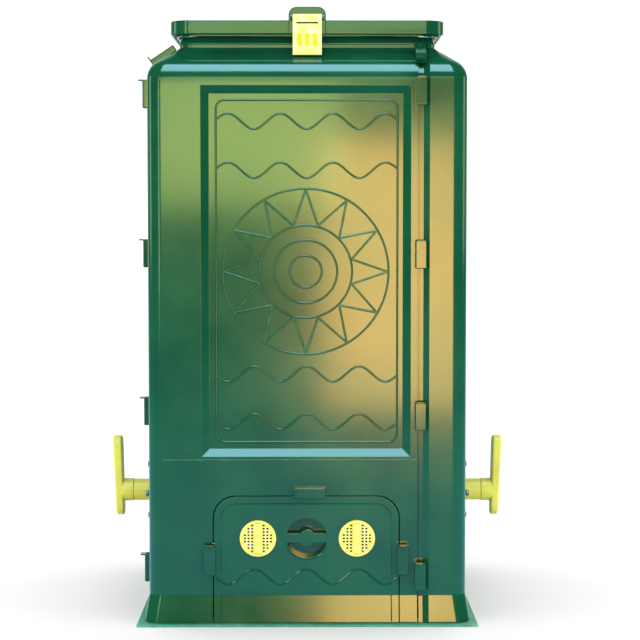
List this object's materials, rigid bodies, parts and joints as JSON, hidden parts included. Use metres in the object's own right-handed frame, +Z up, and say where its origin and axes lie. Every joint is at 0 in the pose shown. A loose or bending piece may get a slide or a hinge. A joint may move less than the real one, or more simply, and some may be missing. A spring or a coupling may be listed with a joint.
{
  "type": "garden composter",
  "caption": "Upright square garden composter: clipped wall panels, hinged lid with a latch, lift-off take-out door with turning vents, and a mixing shaft turned by side levers.",
  "frame": {"origin": "middle of the underside of the base grid", "axes": "+Z up, the front with the take-out door faces -Y, the mixing shaft lies along X"},
  "size_m": [0.7672, 0.623, 1.1236],
  "materials": {
    "body_green": "moulded dark green plastic, satin to gloss",
    "lever_yellow": "moulded lemon yellow plastic, satin",
    "grid_green": "moulded mid green plastic, matt",
    "bush_grey": "dark grey bearing plastic",
    "steel": "plated steel"
  },
  "bodies": {
    "root": {"base_grid": "grid_green", "front_panel": "body_green", "right_panel": "body_green", "rear_panel": "body_green", "left_panel": "body_green", "front_seam_clip_foot": "body_green", "front_seam_clip_lower": "body_green", "front_seam_clip_middle": "body_green", "front_seam_clip_upper": "body_green", "front_seam_clip_shoulder": "body_green", "right_seam_clip_foot": "body_green", "right_seam_clip_lower": "body_green", "right_seam_clip_middle": "body_green", "right_seam_clip_upper": "body_green", "right_seam_clip_shoulder": "body_green", "rear_seam_clip_foot": "body_green", "rear_seam_clip_lower": "body_green", "rear_seam_clip_middle": "body_green", "rear_seam_clip_upper": "body_green", "rear_seam_clip_shoulder": "body_green", "left_seam_clip_foot": "body_green", "left_seam_clip_lower": "body_green", "left_seam_clip_middle": "body_green", "left_seam_clip_upper": "body_green", "left_seam_clip_shoulder": "body_green", "right_bearing_flange": "body_green", "right_shaft_bush": "bush_grey", "right_flange_screw_1": "steel", "right_flange_screw_2": "steel", "right_flange_screw_3": "steel", "right_flange_screw_4": "steel", "left_bearing_flange": "body_green", "left_shaft_bush": "bush_grey", "left_flange_screw_1": "steel", "left_flange_screw_2": "steel", "left_flange_screw_3": "steel", "left_flange_screw_4": "steel", "top_collar": "body_green", "lid_hinge_pin_left": "steel", "lid_hinge_pin_right": "steel"},
    "lid": {"lid": "body_green", "lid_latch_pin": "steel"},
    "latch": {"lid_latch": "lever_yellow"},
    "door": {"take_out_door": "body_green"},
    "vent_left": {"door_vent_left": "lever_yellow"},
    "vent_right": {"door_vent_right": "lever_yellow"},
    "clip_above": {"door_clip_above": "body_green"},
    "clip_left": {"door_clip_left": "body_green"},
    "clip_right": {"door_clip_right": "body_green"},
    "mixer": {"cross_shaft": "steel", "mixing_tine_1": "body_green", "mixing_tine_2": "body_green", "mixing_tine_3": "body_green", "mixing_tine_4": "body_green", "left_lever_sleeve": "lever_yellow", "left_lever": "lever_yellow", "left_lever_screw": "steel", "right_lever_sleeve": "lever_yellow", "right_lever": "lever_yellow", "right_lever_screw": "steel"}
  },
  "joints": [
    {"name": "lid_hinge", "type": "hinge", "parent": "root", "child": "lid", "pos_m": [0, 0.262, 1.07464], "axis": [-1, 0, 0], "range_deg": [0, 110]},
    {"name": "latch_swing", "type": "hinge", "parent": "lid", "child": "latch", "pos_m": [0, -0.2605, 1.10364], "axis": [-1, 0, 0], "range_deg": [0, 100]},
    {"name": "door_pull", "type": "slide", "parent": "root", "child": "door", "axis": [0, -1, 0], "range_m": [0, 0.15]},
    {"name": "vent_left_turn", "type": "hinge", "parent": "door", "child": "vent_left", "pos_m": [-0.09, -0.29, 0.1593], "axis": [0, -1, 0], "range_deg": [0, 90]},
    {"name": "vent_right_turn", "type": "hinge", "parent": "door", "child": "vent_right", "pos_m": [0.09, -0.29, 0.1593], "axis": [0, -1, 0], "range_deg": [0, 90]},
    {"name": "clip_above_slide", "type": "slide", "parent": "door", "child": "clip_above", "axis": [-1, 0, 0], "range_m": [0, 0.062]},
    {"name": "clip_left_slide", "type": "slide", "parent": "door", "child": "clip_left", "axis": [0, 0, 1], "range_m": [0, 0.06]},
    {"name": "clip_right_slide", "type": "slide", "parent": "door", "child": "clip_right", "axis": [0, 0, 1], "range_m": [0, 0.06]},
    {"name": "mixer_turn", "type": "hinge", "parent": "root", "child": "mixer", "pos_m": [0, 0, 0.205], "axis": [1, 0, 0], "continuous": true}
  ]
}
